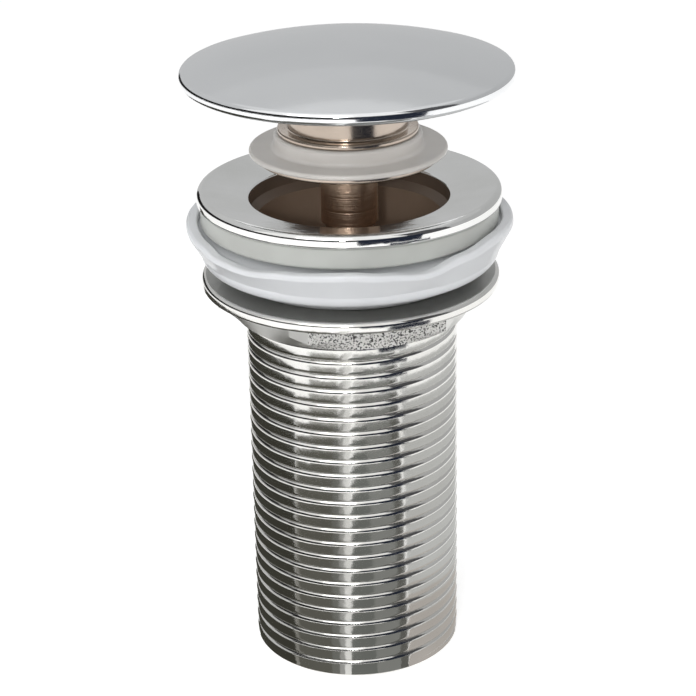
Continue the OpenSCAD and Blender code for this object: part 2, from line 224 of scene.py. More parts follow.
def add(owner, kind, **settings):
    """A node with its settings, in the node tree of a material or a world."""
    node = owner.node_tree.nodes.new(kind)
    for key, value in settings.items():
        setattr(node, key, value)
    return node


def join(owner, source, target):
    """Links an output socket to an input socket."""
    owner.node_tree.links.new(source, target)


# %% [markdown]
# Several finishes share the same few patterns: noise, a colour that noise stains, and a bump that
# noise drives. They read Object coordinates, so a pattern stays on its piece when the piece moves,
# and no picture has to be painted or unwrapped.

# %% Patterns


def object_place(made):
    """Plain object coordinates."""
    return add(made, "ShaderNodeTexCoord").outputs["Object"]


def noise(made, place, scale, detail=2.0, rough=0.5):
    """Noise over a place, as a factor."""
    node = add(made, "ShaderNodeTexNoise")
    node.inputs["Scale"].default_value = scale
    node.inputs["Detail"].default_value = detail
    node.inputs["Roughness"].default_value = rough
    join(made, place, node.inputs["Vector"])
    return node.outputs["Fac"]


def stain(made, factor, limits, light, dark):
    """A colour that goes from light to dark as a factor goes from one limit to the other."""
    ramp = add(made, "ShaderNodeValToRGB")
    for element, position, colour in zip(ramp.color_ramp.elements, limits, (light, dark)):
        element.position = position
        element.color = (*colour, 1)
    join(made, factor, ramp.inputs["Fac"])
    return ramp.outputs["Color"]


def dent(made, shader, factor, depth):
    """A bump on the shader from a factor; depth in metres."""
    bump = add(made, "ShaderNodeBump")
    bump.inputs["Strength"].default_value = 1.0
    bump.inputs["Distance"].default_value = depth
    join(made, factor, bump.inputs["Height"])
    join(made, bump.outputs["Normal"], shader.inputs["Normal"])


# %% [markdown]
# Turned metal is never quite even: the tool leaves fine rings. The rings are noise that reads only
# the distance from the axis and the height, so they run round the piece from any side. They drive
# a faint bump together with slow waves, which bend a reflection a little, as hand polishing does,
# and slow noise stains the colour. A plain shiny shader would look like a drawing of metal.

# %% Turned metal

RING_DEPTH = 0.00005
RING_DETAIL = 1.0
STAIN_SCALE = 60.0
STAIN_DETAIL = 3.0
WAVE_SCALE = 350.0
PATCHES = (0.35, 0.7)


def turned_place(made):
    """A vector of distance from the axis and height, the same all round."""
    split = add(made, "ShaderNodeSeparateXYZ")
    join(made, object_place(made), split.inputs[0])
    flat = add(made, "ShaderNodeCombineXYZ")
    join(made, split.outputs["X"], flat.inputs["X"])
    join(made, split.outputs["Y"], flat.inputs["Y"])
    length = add(made, "ShaderNodeVectorMath", operation="LENGTH")
    join(made, flat.outputs[0], length.inputs[0])
    ring = add(made, "ShaderNodeCombineXYZ")
    join(made, length.outputs["Value"], ring.inputs["X"])
    join(made, split.outputs["Z"], ring.inputs["Z"])
    return ring.outputs[0]


def turned_metal(name, light, dark, roughness, ring_scale, rings, waves, metallic=1.0):
    """Metal with rings left by the lathe, slow waves in its surface and slow stains."""
    made, shader = new_finish(name, metallic, roughness)
    slow = noise(made, object_place(made), STAIN_SCALE, STAIN_DETAIL)
    join(made, stain(made, slow, PATCHES, light, dark), shader.inputs["Base Color"])
    fine = noise(made, turned_place(made), ring_scale, RING_DETAIL)
    broad = noise(made, object_place(made), WAVE_SCALE)
    fine_part = add(made, "ShaderNodeMath", operation="MULTIPLY")
    fine_part.inputs[1].default_value = rings
    join(made, fine, fine_part.inputs[0])
    both = add(made, "ShaderNodeMath", operation="MULTIPLY_ADD")
    both.inputs[1].default_value = waves
    join(made, broad, both.inputs[0])
    join(made, fine_part.outputs[0], both.inputs[2])
    dent(made, shader, both.outputs[0], RING_DEPTH)
    return made


# %% [markdown]
# The bright metals are the cap's and the flange's chrome, the warm nickel of the neck, and the
# plating on the tail and the nut, which is satin on the nut's flats. The nut's upper face is dull
# and painted darker, a painted shade under the washer.
# Only their colours and marks differ, so one function makes them all.

# %% Chrome and plating

cap_chrome = turned_metal(
    "cap_chrome", light=(0.86, 0.87, 0.88), dark=(0.83, 0.84, 0.85),
    roughness=0.12, ring_scale=900.0, rings=0.006, waves=0.3)
flange_chrome = turned_metal(
    "flange_chrome", light=(0.87, 0.87, 0.86), dark=(0.78, 0.78, 0.76),
    roughness=0.08, ring_scale=2600.0, rings=0.012, waves=0.5)
neck_nickel = turned_metal(
    "neck_nickel", light=(0.54, 0.465, 0.40), dark=(0.45, 0.375, 0.31),
    roughness=0.2, ring_scale=2400.0, rings=0.05, waves=0.5)
tail_plate = turned_metal(
    "tail_plate", light=(0.80, 0.795, 0.77), dark=(0.70, 0.69, 0.66),
    roughness=0.13, ring_scale=2400.0, rings=0.03, waves=0.9)
nut_plate = turned_metal(
    "nut_plate", light=(0.82, 0.815, 0.79), dark=(0.74, 0.73, 0.70),
    roughness=0.12, ring_scale=2000.0, rings=0.025, waves=0.8)
nut_satin = turned_metal(
    "nut_satin", light=(0.90, 0.895, 0.87), dark=(0.80, 0.79, 0.76),
    roughness=0.45, ring_scale=2000.0, rings=0.025, waves=0.8)
# The nut's upper face is painted dark grey: a painted shade under the washer.
nut_face_painted_shade = turned_metal(
    "nut_face_painted_shade", light=(0.44, 0.44, 0.42), dark=(0.36, 0.36, 0.34),
    roughness=0.28, ring_scale=2600.0, rings=0.04, waves=0.5)

# %% [markdown]
# Inside, the brass has no plating and has gone brown. On top of that brown, the mouth is painted
# darker, a painted shade, and the deep bore is painted paler, a painted light against the shade down
# in it. The tarnish hides most of the metal, so the mouth and the bore are only partly metallic. The
# stem keeps deep tool rings, and the cartridge's small pieces are plain brass and drawn steel.

# %% Brass and steel

TARNISHED = 0.35
# The mouth's darker brown is painted shade and the bore's paler brown is painted light; the brown
# itself is tarnish.
mouth_brass_painted_shade = turned_metal(
    "mouth_brass_painted_shade", light=(0.21, 0.158, 0.12), dark=(0.16, 0.116, 0.086),
    roughness=0.42, ring_scale=1800.0, rings=0.12, waves=0.5, metallic=TARNISHED)
bore_brass_painted_light = turned_metal(
    "bore_brass_painted_light", light=(0.40, 0.295, 0.22), dark=(0.31, 0.225, 0.165),
    roughness=0.42, ring_scale=1800.0, rings=0.12, waves=0.5, metallic=TARNISHED)
stem_brass = turned_metal(
    "stem_brass", light=(0.92, 0.70, 0.53), dark=(0.74, 0.54, 0.40),
    roughness=0.3, ring_scale=4200.0, rings=1.6, waves=0.5)
bare_brass = turned_metal(
    "bare_brass", light=(0.60, 0.47, 0.27), dark=(0.47, 0.35, 0.19),
    roughness=0.32, ring_scale=2200.0, rings=0.06, waves=0.3)
drawn_steel = turned_metal(
    "drawn_steel", light=(0.52, 0.52, 0.54), dark=(0.42, 0.42, 0.44),
    roughness=0.3, ring_scale=2600.0, rings=0.04, waves=0.3)

# %% [markdown]
# One flat of the nut keeps the skin of the casting: bright grains with pits between them. The
# pits could be sculpted, but they are finer than the mesh, so noise with a steep ramp paints them
# near black, a painted shade for their depth, and the same noise dents the surface.

# %% Rough casting

CAST_METALLIC = 0.4
CAST_ROUGHNESS = 0.25
GRAIN_SCALE = 2800.0
GRAIN_DETAIL = 2.0
GRAIN_ROUGH = 0.6
GRAIN_LIMITS = (0.42, 0.48)
GRAIN_DEPTH = 0.0004


def cast_metal(name, grain_colour, pit_shade_colour):
    """Metal with the grain of a rough casting, and painted shade in its pits."""
    made, shader = new_finish(name, CAST_METALLIC, CAST_ROUGHNESS)
    grain = noise(made, object_place(made), GRAIN_SCALE, GRAIN_DETAIL, GRAIN_ROUGH)
    skin = stain(made, grain, GRAIN_LIMITS, pit_shade_colour, grain_colour)
    join(made, skin, shader.inputs["Base Color"])
    dent(made, shader, grain, GRAIN_DEPTH)
    return made


# The pits' near black is painted shade; the bright grains are the casting's own colour.
nut_cast = cast_metal("nut_cast", grain_colour=(0.95, 0.94, 0.91), pit_shade_colour=(0.06, 0.06, 0.058))

# %% [markdown]
# The soft pieces are silicone that lets some light through, a grey-green gasket, black rubber and
# the glossy white washer. Glass-like transmission would be clear, and these are milky, so light
# below the skin does it: strong in the silicone, less in the gasket and the washer.

# %% Rubbers and plastic

CLOUD_SCALE = 90.0
SKIN_DEPTH = (0.003, 0.003, 0.003)
COAT_ROUGHNESS = 0.08


def soft_finish(name, light, dark, roughness, milky, coat):
    """Rubber or plastic with faint clouds, some light below its skin and a coat of gloss."""
    made, shader = new_finish(name, metallic=0.0, roughness=roughness)
    cloud = noise(made, object_place(made), CLOUD_SCALE)
    join(made, stain(made, cloud, PATCHES, light, dark), shader.inputs["Base Color"])
    shader.inputs["Subsurface Weight"].default_value = milky
    shader.inputs["Subsurface Radius"].default_value = SKIN_DEPTH
    shader.inputs["Coat Weight"].default_value = coat
    shader.inputs["Coat Roughness"].default_value = COAT_ROUGHNESS
    return made


silicone = soft_finish(
    "silicone", light=(0.73, 0.70, 0.665), dark=(0.65, 0.625, 0.595),
    roughness=0.35, milky=0.5, coat=0.3)
grey_rubber = soft_finish(
    "grey_rubber", light=(0.54, 0.555, 0.525), dark=(0.48, 0.49, 0.465),
    roughness=0.4, milky=0.3, coat=0.2)
black_rubber = soft_finish(
    "black_rubber", light=(0.03, 0.03, 0.03), dark=(0.02, 0.02, 0.02),
    roughness=0.5, milky=0.0, coat=0.0)
white_plastic = soft_finish(
    "white_plastic", light=(0.80, 0.815, 0.835), dark=(0.77, 0.785, 0.805),
    roughness=0.3, milky=0.2, coat=0.35)

# %% [markdown]
# The cap is a lens: a shallow dome over a short rim, hollow below, with a boss for the neck. A
# squashed sphere would do from far off. Here the dome's radius follows from the cap's radius and
# its rise, so its arc meets the rim exactly and the reflections run smoothly to the edge.

# %% Cap

CAP_RISE = 5.0
CAP_WALL = 2.6
CAP_LIP = 2.4
CAP_EDGE_ROUND = 0.9
CAP_FOOT_ROUND = 1.0
BOSS_R = 8.0
BOSS_DROP = 0.3
STUD_BORE = 3.04
STUD_COVER = 1.9
NECK_R = 11.5
BREAK = 0.3
DOME_STEPS = 40
HOLLOW_STEPS = 16
neck_ring_r, neck_low, neck_top = reach("plug_neck")
dome_r = (cap_r ** 2 + CAP_RISE ** 2) / (2 * CAP_RISE)
dome_z = cap_top - dome_r
cap_low = cap_foot + BOSS_DROP
under_r = dome_r - CAP_WALL
hollow_r = cap_r - CAP_LIP
hollow_z = dome_z + math.sqrt(under_r ** 2 - hollow_r ** 2)
stud_top = cap_top - STUD_COVER


def dome_angle(radius, at):
    """Angle from the top of a dome to a distance from its axis, in degrees."""
    return math.degrees(math.asin(at / radius))


hollow_turn = dome_angle(under_r, NECK_R) - dome_angle(under_r, hollow_r)
cap = Section(0, cap_top)
cap.arc(0, dome_z, dome_angle(dome_r, cap_r), DOME_STEPS, CAP_EDGE_ROUND)
cap.line(cap_r, cap_low, CAP_FOOT_ROUND)
cap.line(hollow_r, cap_low, BREAK).line(hollow_r, hollow_z)
cap.arc(0, dome_z, hollow_turn, HOLLOW_STEPS)
cap.line(NECK_R, neck_top).line(BOSS_R, neck_top).line(BOSS_R, cap_foot, BREAK)
cap.line(STUD_BORE, cap_foot).line(STUD_BORE, stud_top).line(0, stud_top)
make_piece("cap", lathe(cap), "plug", "plug_cap", [cap_chrome])

# %% [markdown]
# The neck stands between the cap and the seal: a plain turned drum with a small ring at its foot,
# a spigot through the seal and a bore for the sleeve. Stacked cylinders would leave hidden walls
# inside, so its section is one closed chain.

# %% Neck

NECK_RING_T = 1.1
NECK_RING_ROUND = 0.35
SPIGOT_R = 8.0
NECK_BORE = 5.6
NECK_SEAT = 8.05
NECK_TOP_ROUND = 0.25
FINE_BREAK = 0.2
seal_r, seal_low, seal_top = reach("plug_seal")
ring_top = seal_top + NECK_RING_T
neck = Section(NECK_SEAT, neck_top).line(NECK_R, neck_top, NECK_TOP_ROUND)
neck.line(NECK_R, ring_top, BREAK).line(neck_ring_r, ring_top, NECK_RING_ROUND)
neck.line(neck_ring_r, seal_top, NECK_RING_ROUND).line(SPIGOT_R, seal_top)
neck.line(SPIGOT_R, neck_low, BREAK).line(NECK_BORE, neck_low, FINE_BREAK)
neck.line(NECK_BORE, cap_foot).line(NECK_SEAT, cap_foot).close()
make_piece("neck", lathe(neck), "plug", "plug_neck", [neck_nickel])

# %% [markdown]
# The seal is moulded silicone: a hub under the neck's ring and a thin lip that comes down on the
# seat. Its edges are rounded generously, because no moulding has a sharp one. Subdivision would
# round them too, but by an amount that depends on the mesh; a bevel of the section is a true size.

# %% Seal

SEAL_BORE = 8.05
SEAL_HUB_R = 14.25
SEAL_HUB_ROUND = 0.7
SEAL_FILLET = 0.8
LIP_T = 1.1
LIP_TOP_ROUND = 0.55
LIP_LOW_ROUND = 0.45
lip_top = seal_low + LIP_T
seal = Section(SEAL_BORE, seal_top).line(SEAL_HUB_R, seal_top, SEAL_HUB_ROUND)
seal.line(SEAL_HUB_R, lip_top, SEAL_FILLET).line(seal_r, lip_top, LIP_TOP_ROUND)
seal.line(seal_r, seal_low, LIP_LOW_ROUND).line(SEAL_BORE, seal_low).close()
make_piece("seal", lathe(seal), "plug", "plug_seal", [silicone])

# %% [markdown]
# A metal ring holds the seal from below. It is a plain ring, turned like the seal, with its edges
# broken so that they catch a line of light.

# %% Ring under the seal

KEEPER_ROUND = 0.4
keep_r, keep_low, keep_top = reach("seal_retainer")
keeper = Section(SEAL_BORE, keep_top).line(keep_r, keep_top, BREAK)
keeper.line(keep_r, keep_low, KEEPER_ROUND).line(SEAL_BORE, keep_low).close()
make_piece("seal_keeper", lathe(keeper), "plug", "seal_retainer", [neck_nickel])

# %% [markdown]
# The thread has broad, slightly barrelled crests that roll over into narrow grooves. One pitch of
# that wall is drawn as a section: the root, a flank, a roll up to the crest, the crest, and the
# same way back. The roots' radius follows, so that the crests reach the mount's radius.

# %% Draw one pitch of the thread

PITCH = 2.99
ROOT_W = 0.06
FLANK = 0.14
FLANK_DEG = 42
ROLL_R = 1.15
ROLL_STEPS = 6
CREST_DEG = 2.0
CREST_STEPS = 3
THREAD_FOOT = 1.6
THREAD_HEAD = 90.0
start_z = THREAD_FOOT - PITCH
flank_turn = math.radians(FLANK_DEG)
crest_turn = math.radians(CREST_DEG)
flank_tall = FLANK * math.cos(flank_turn)
flank_deep = FLANK * math.sin(flank_turn)
roll_tall = ROLL_R * (math.sin(flank_turn) - math.sin(crest_turn))
roll_deep = ROLL_R * (math.cos(crest_turn) - math.cos(flank_turn))
crest_r = (PITCH - ROOT_W - 2 * flank_tall - 2 * roll_tall) / 2 / math.sin(crest_turn)
root_r = THREAD_R - flank_deep - roll_deep - crest_r * (1 - math.cos(crest_turn))
wall = Section(root_r, start_z).line(root_r, start_z + ROOT_W)
wall.line(root_r + flank_deep, start_z + ROOT_W + flank_tall)
wall.roll(ROLL_R, -FLANK_DEG, -CREST_DEG, ROLL_STEPS)
wall.roll(crest_r, -CREST_DEG, CREST_DEG, CREST_STEPS)
wall.roll(ROLL_R, CREST_DEG, FLANK_DEG, ROLL_STEPS).line(root_r, start_z + PITCH)
print("groove in mm:", round(THREAD_R - root_r, 2))

# %% [markdown]
# The section is spun once round with a rise at every step, so the turn's upper edge lies on the
# lower edge of the next turn. The turn is then doubled until there are enough, the edges are
# merged, and two planes cut the ends level. Spinning all the turns in one go gives the same shape
# and takes minutes, and a sweep along a curve object would need a second object.

# %% Wind the thread

THREAD_STEPS = 120
SPARE_TURNS = 2
CUT_NEAR = 1e-7


def whole(mesh):
    """Everything in a mesh."""
    return mesh.verts[:] + mesh.edges[:] + mesh.faces[:]


turns = (THREAD_HEAD - THREAD_FOOT) / PITCH + SPARE_TURNS
doublings = math.ceil(math.log2(turns))
thread = wall.mesh
bmesh.ops.spin(
    thread, geom=thread.verts[:] + thread.edges[:], cent=(0, 0, 0), axis=(0, 0, 1),
    dvec=(0, 0, PITCH * MM / THREAD_STEPS), angle=TURN, steps=THREAD_STEPS, use_duplicate=False)
for doubling in range(doublings):
    copied = bmesh.ops.duplicate(thread, geom=whole(thread))["geom"]
    moved = [item for item in copied if isinstance(item, bmesh.types.BMVert)]
    bmesh.ops.translate(thread, verts=moved, vec=(0, 0, PITCH * MM * 2 ** doubling))
bmesh.ops.remove_doubles(thread, verts=thread.verts[:], dist=WELD)
for height, above in ((THREAD_FOOT, False), (THREAD_HEAD, True)):
    bmesh.ops.bisect_plane(
        thread, geom=whole(thread), dist=CUT_NEAR, plane_co=(0, 0, height * MM), plane_no=(0, 0, 1),
        clear_outer=above, clear_inner=not above)
print("turns wound:", 2 ** doublings, "turns kept:", round((THREAD_HEAD - THREAD_FOOT) / PITCH, 1))

# %% [markdown]
# The rest of the tail grows out of the thread's cut ends. An open loop of edges is extruded and
# its new vertices are set to a distance and a height, point by point along a section, so the
# whole tail stays one closed skin from the thread's foot through the bore to the flange. Two
# joined objects would show a seam where the plating should run on.

# %% Helpers that grow a loop

LEVEL_NEAR = 1e-5


def open_loop(mesh, height):
    """The open edges of a mesh that lie at a height in millimetres."""
    def level(edge):
        return all(abs(vert.co.z - height * MM) < LEVEL_NEAR for vert in edge.verts)
    return [edge for edge in mesh.edges if edge.is_boundary and level(edge)]


def grow(mesh, loop, x, z):
    """Extrudes an open loop to a distance from the axis and a height, in metres."""
    made = bmesh.ops.extrude_edge_only(mesh, edges=loop)["geom"]
    fresh = [item for item in made if isinstance(item, bmesh.types.BMVert)]
    for vert in fresh:
        flat = Vector((vert.co.x, vert.co.y, 0)).normalized() * x
        vert.co = (flat.x, flat.y, z)
    known = set(fresh)
    edges = [item for item in made if isinstance(item, bmesh.types.BMEdge)]
    return [edge for edge in edges if all(vert in known for vert in edge.verts)]


def chain(section):
    """The points of an open section in order, from its first point to its tip."""
    mesh = section.soften().mesh
    mesh.verts.ensure_lookup_table()
    ends = [vert for vert in mesh.verts if len(vert.link_edges) == 1]
    point = min(ends, key=lambda vert: (vert.co - section.start).length)
    points = [point.co.copy()]
    edge = point.link_edges[0]
    while edge:
        point = edge.other_vert(point)
        points.append(point.co.copy())
        edge = next((other for other in point.link_edges if other != edge), None)
    mesh.free()
    return points


# %% [markdown]
# The tail's own section starts below the thread, goes round its foot, up the bore past the step
# that the spider sits under, over the conical seat and the dished flange, and back down to the
# thread through a small fillet. A Boolean cut of the bore would leave ragged faces at the thread.

# %% Section of the tail

FOOT_INSET = 0.12
FOOT_LAND = 0.2
FOOT_BEVEL_IN = 0.8
FOOT_BEVEL_UP = 0.7
OUTLET_IN = 0.4
OUTLET_UP = 0.5
LOWER_BORE = 18.4
UPPER_BORE = 18.0
SPIDER_HUB_STEP = 2.0
MOUTH_R = 19.4
MOUTH_ROUND = 0.5
MOUTH_DEPTH = 2.9
DISH_DEPTH = 1.9
FLANGE_T = 2.7
FLANGE_ROUND = 0.6
RIM_ROUND = 1.2
RIM_STEPS = 10
FLANGE_FILLET = 0.4
foot_r = THREAD_R - FOOT_INSET
bore_step_z = reach("spider")[2] - SPIDER_HUB_STEP
mouth_top = flange_top - DISH_DEPTH
seat_z = mouth_top - MOUTH_DEPTH
seat_low = seat_z - (MOUTH_R - UPPER_BORE)
dish_r = flange_r - RIM_ROUND
flange_low = flange_top - FLANGE_T
foot = Section(foot_r, THREAD_FOOT - FOOT_LAND)
foot.line(foot_r, tail_low + FOOT_BEVEL_UP, FINE_BREAK)
foot.line(THREAD_R - FOOT_BEVEL_IN, tail_low, FINE_BREAK)
foot.line(LOWER_BORE + OUTLET_IN, tail_low, FINE_BREAK).line(LOWER_BORE, tail_low + OUTLET_UP)
foot.line(LOWER_BORE, bore_step_z).line(UPPER_BORE, bore_step_z)
foot.line(UPPER_BORE, seat_low).line(MOUTH_R, seat_z)
foot.line(MOUTH_R, mouth_top, MOUTH_ROUND).line(dish_r, flange_top, FLANGE_ROUND)
foot.arc(dish_r, flange_top - RIM_ROUND, 90, RIM_STEPS)
foot.line(flange_r, flange_low, FLANGE_ROUND).line(THREAD_R + FLANGE_FILLET, flange_low)
foot.line(THREAD_R, flange_low - FLANGE_FILLET)
print("seat at:", round(seat_z, 2), "mouth at:", round(mouth_top, 2))

# %% [markdown]
# The lower loop walks along that section and arrives under the flange, where it is bridged to the
# thread's upper loop. No edge may stay open, and the count at the end shows that none does.

# %% Grow the tail from the thread

loop = open_loop(thread, THREAD_FOOT)
head_loop = open_loop(thread, THREAD_HEAD)
for point in chain(foot):
    loop = grow(thread, loop, point.x, point.z)
bmesh.ops.bridge_loops(thread, edges=loop + head_loop)
bmesh.ops.recalc_face_normals(thread, faces=thread.faces[:])
print("open edges left:", sum(edge.is_boundary for edge in thread.edges))

# %% [markdown]
# One skin carries four finishes. The plating covers the thread and the polished chrome covers the
# flange. The mouth is brown brass painted darker, a painted shade, and the bore below it is brown
# brass painted paler, a painted light. Each face picks its finish from where its middle is, which
# follows the sizes; faces picked by number would not.

# %% Finishes of the tail

PLATE, POLISH, PAINTED_SHADE_MOUTH, PAINTED_LIGHT_BORE = range(4)
BROWN_EDGE = 0.35
BROWN_DEEP = 1.0
MOUTH_NEAR = 0.02
POLISH_DROP = 0.3


def from_axis(point):
    """Distance of a point from the axis, in millimetres."""
    return point.xy.length / MM


def tail_finish(centre):
    """Which finish a face of the tail has."""
    height = centre.z / MM
    # In the mouth the darker brass is painted shade; deeper in the bore the paler brass is painted
    # light.
    if from_axis(centre) < MOUTH_R + MOUTH_NEAR and height < mouth_top - BROWN_EDGE:
        return PAINTED_SHADE_MOUTH if height > seat_low - BROWN_DEEP else PAINTED_LIGHT_BORE
    return POLISH if height > flange_low - POLISH_DROP else PLATE


for face in thread.faces:
    face.material_index = tail_finish(face.calc_center_median())
make_piece(
    "tail", thread, "waste_body", "tail_body",
    [tail_plate, flange_chrome, mouth_brass_painted_shade, bore_brass_painted_light])

# %% [markdown]
# The gasket is a plain rubber ring under the flange. Two cylinders, one cut from the other, would
# give its shape with hard edges; a turned section gives it the soft ones that rubber has.

# %% Gasket

GASKET_PLAY = 0.05
GASKET_TOP_ROUND = 0.5
GASKET_LOW_ROUND = 0.6
gasket_r, gasket_low, gasket_top = reach("flange_gasket")
gasket_bore = THREAD_R + GASKET_PLAY
gasket = Section(gasket_bore, gasket_top).line(gasket_r, gasket_top, GASKET_TOP_ROUND)
gasket.line(gasket_r, gasket_low, GASKET_LOW_ROUND).line(gasket_bore, gasket_low).close()
make_piece("gasket", lathe(gasket), "waste_body", "flange_gasket", [grey_rubber])

# %% [markdown]
# The cup washer is a moulded ring: a rounded foot, a wall that leans out and a beaded rim with a
# recess for the gasket. It is turned true first, like the other rings.

# %% Turn the cup washer

CUP_PLAY = 0.3
CONTACT_W = 1.145
CONTACT_ROUND = 0.3
CUP_FLARE = 2.65
CUP_ROUND = 2.6
CUP_ROUND_DEG = 62
CUP_ROUND_STEPS = 10
CUP_WALL_H = 6.3
BEAD_IN = 0.2
BEAD_DROP = 1.3
BEAD_TOP_ROUND = 0.6
BEAD_SIDE_ROUND = 0.8
RECESS_PLAY = 0.55
RECESS_DEEP = 1.4
RECESS_ROUND = 0.5
cup_r, cup_low, cup_top = reach("cup_washer")
cup_bore = THREAD_R + CUP_PLAY
recess_r = gasket_r + RECESS_PLAY
recess_z = cup_top - RECESS_DEEP
round_x = cup_r - CUP_FLARE - CUP_ROUND
round_z = cup_top - CUP_WALL_H
cup = Section(cup_bore, recess_z).line(recess_r, recess_z)
cup.line(recess_r, cup_top, RECESS_ROUND).line(cup_r - BEAD_IN, cup_top, BEAD_TOP_ROUND)
cup.line(cup_r, cup_top - BEAD_DROP, BEAD_SIDE_ROUND)
cup.line(round_x + CUP_ROUND, round_z).arc(round_x, round_z, CUP_ROUND_DEG, CUP_ROUND_STEPS)
cup.line(cup_bore + CONTACT_W, cup_low, CONTACT_ROUND).line(cup_bore, cup_low).close()
cup_mesh = lathe(cup)
print("washer points:", len(cup_mesh.verts))

# %% [markdown]
# The washer was pulled out of true in use, so its rim is not level. A lattice could bend it; here
# the droop is a few heights given round the rim, with a smooth curve between them, and it
# fades out down the wall, so the foot still lies flat on the nut.

# %% Bend the washer's rim

DROOP_IN = 1.5
RIM_DROOP = (
    (-180, 0.0), (-154, -0.9), (-143, -1.9), (-129, -2.2), (-113, -1.5), (-90, -1.0),
    (-78, -1.5), (-64, -2.2), (-48, -0.6), (-29, 0.3), (0, -0.2), (90, 0.0), (180, 0.0),
)


def azimuth(point):
    """Angle of a point round the axis from +X, between -180 and 180 degrees."""
    return math.degrees(math.atan2(point.y, point.x))


def droop(at):
    """Height of the rim at an azimuth, eased between the picked heights."""
    for (before, low), (after, high) in zip(RIM_DROOP, RIM_DROOP[1:]):
        if before <= at <= after:
            ease = (1 - math.cos(math.pi * (at - before) / (after - before))) / 2
            return low + (high - low) * ease
    return 0.0


for vert in cup_mesh.verts:
    share = (vert.co.z / MM - round_z) / CUP_WALL_H
    if share > 0 and from_axis(vert.co) > recess_r - DROOP_IN:
        vert.co.z += droop(azimuth(vert.co)) * min(share, 1.0) * MM
make_piece("cup_washer_ring", cup_mesh, "washer", "cup_washer", [white_plastic])

# %% [markdown]
# The back nut has a round flange above a six-sided hub, whose lower corners are turned off. A
# cylinder with six sides could be joined to a ring; here the hub is turned as a drum over the
# corners first, so the nut is one closed skin, and the flats are cut in the next step.

# %% Turn the back nut

NUT_RIM = 2.2
NUT_TOP_ROUND = 0.85
NUT_LOW_ROUND = 0.5
NUT_WALL = 2.045
NUT_PLAY = 0.075
NUT_LEAD = 0.7
HUB_CHAMFER = 3.6
CHAMFER_SLOPE = 0.6
SIDE_DEG = 60
nut_r, nut_low, nut_top = reach("back_nut")
nut_flat = THREAD_R + NUT_WALL
nut_bore = THREAD_R + NUT_PLAY
rim_low = nut_top - NUT_RIM
hub_corner = nut_flat / math.cos(math.radians(SIDE_DEG / 2))
nut = Section(nut_bore + NUT_LEAD, nut_top).line(nut_r, nut_top, NUT_TOP_ROUND)
nut.line(nut_r, rim_low, NUT_LOW_ROUND).line(hub_corner, rim_low)
nut.line(hub_corner, nut_low + HUB_CHAMFER * CHAMFER_SLOPE).line(hub_corner - HUB_CHAMFER, nut_low)
nut.line(nut_bore + NUT_LEAD, nut_low).line(nut_bore, nut_low + NUT_LEAD)
nut.line(nut_bore, nut_top - NUT_LEAD).close()
nut_mesh = lathe(nut)
print("nut over its corners in mm:", round(2 * hub_corner, 2))

# %% [markdown]
# Each outer vertex of the hub is drawn in to the flat in front of it. The lathe's steps fall on
# the corners, so they come out sharp.

# %% Cut the nut's flats

NUT_TURNED = 12
HUB_SKIN_IN = 0.5
HUB_SKIN_OUT = 0.1
RIM_NEAR = 0.01
hub_top = rim_low + RIM_NEAR
for vert in nut_mesh.verts:
    distance = from_axis(vert.co)
    if vert.co.z / MM < hub_top and nut_flat - HUB_SKIN_IN < distance < hub_corner + HUB_SKIN_OUT:
        from_flat = ((azimuth(vert.co) - NUT_TURNED) % SIDE_DEG) - SIDE_DEG / 2
        flat_at = nut_flat / math.cos(math.radians(from_flat))
        vert.co.xy *= min(1.0, flat_at / distance)
bmesh.ops.recalc_face_normals(nut_mesh, faces=nut_mesh.faces[:])
print("nut over its flats in mm:", round(2 * nut_flat, 2))

# %% [markdown]
# The nut's rim is bright, and its upper face is dull and painted darker, a painted shade under the
# washer. One flat near the front keeps its rough cast skin, and the other flats are satin. As on the
# tail, each face picks its finish from its place.

# %% Finishes of the nut

BRIGHT, SATIN, CAST, PAINTED_SHADE_TOP = range(4)
ROUGH_FLAT = NUT_TURNED - 90
FACE_SKIN = 0.6
SATIN_NEAR = 0.1
TOP_NEAR = 0.01


def nut_finish(centre):
    """Which finish a face of the nut has."""
    height = centre.z / MM
    # The upper face takes the painted shade.
    if height > nut_top - TOP_NEAR:
        return PAINTED_SHADE_TOP
    if from_axis(centre) > nut_flat - FACE_SKIN and height < hub_top - SATIN_NEAR:
        from_rough = (azimuth(centre) - ROUGH_FLAT + 180) % 360 - 180
        return CAST if abs(from_rough) < SIDE_DEG / 2 else SATIN
    return BRIGHT


for face in nut_mesh.faces:
    face.material_index = nut_finish(face.calc_center_median())
make_piece(
    "back_nut_ring", nut_mesh, "nut", "back_nut",
    [nut_plate, nut_satin, nut_cast, nut_face_painted_shade])

# %% [markdown]
# The spring sits inside the post, out of sight, and still gets a true coil: one circle of wire
# spun with a rise at every step. A curve with a round bevel would look the same, and would have to
# be made a mesh first.

# %% Spring

WIRE_R = 0.25
WIRE_SIDES = 10
COIL_TURNS = 16
COIL_STEPS = 24
QUARTER = math.radians(90)
spring_r, spring_low, spring_top = reach("return_spring")
coil = bmesh.new()
bmesh.ops.create_circle(coil, cap_ends=False, segments=WIRE_SIDES, radius=WIRE_R * MM)
upright = Matrix.Rotation(QUARTER, 4, "X")
first_place = Matrix.Translation(((spring_r - WIRE_R) * MM, 0, (spring_low + WIRE_R) * MM))
bmesh.ops.transform(coil, matrix=first_place @ upright, verts=coil.verts[:])
coil_rise = (spring_top - spring_low - 2 * WIRE_R) * MM
bmesh.ops.spin(
    coil, geom=coil.verts[:] + coil.edges[:], cent=(0, 0, 0), axis=(0, 0, 1),
    dvec=(0, 0, coil_rise / (COIL_TURNS * COIL_STEPS)), angle=TURN * COIL_TURNS,
    steps=COIL_TURNS * COIL_STEPS, use_duplicate=False)
bmesh.ops.holes_fill(coil, edges=[edge for edge in coil.edges if edge.is_boundary], sides=0)
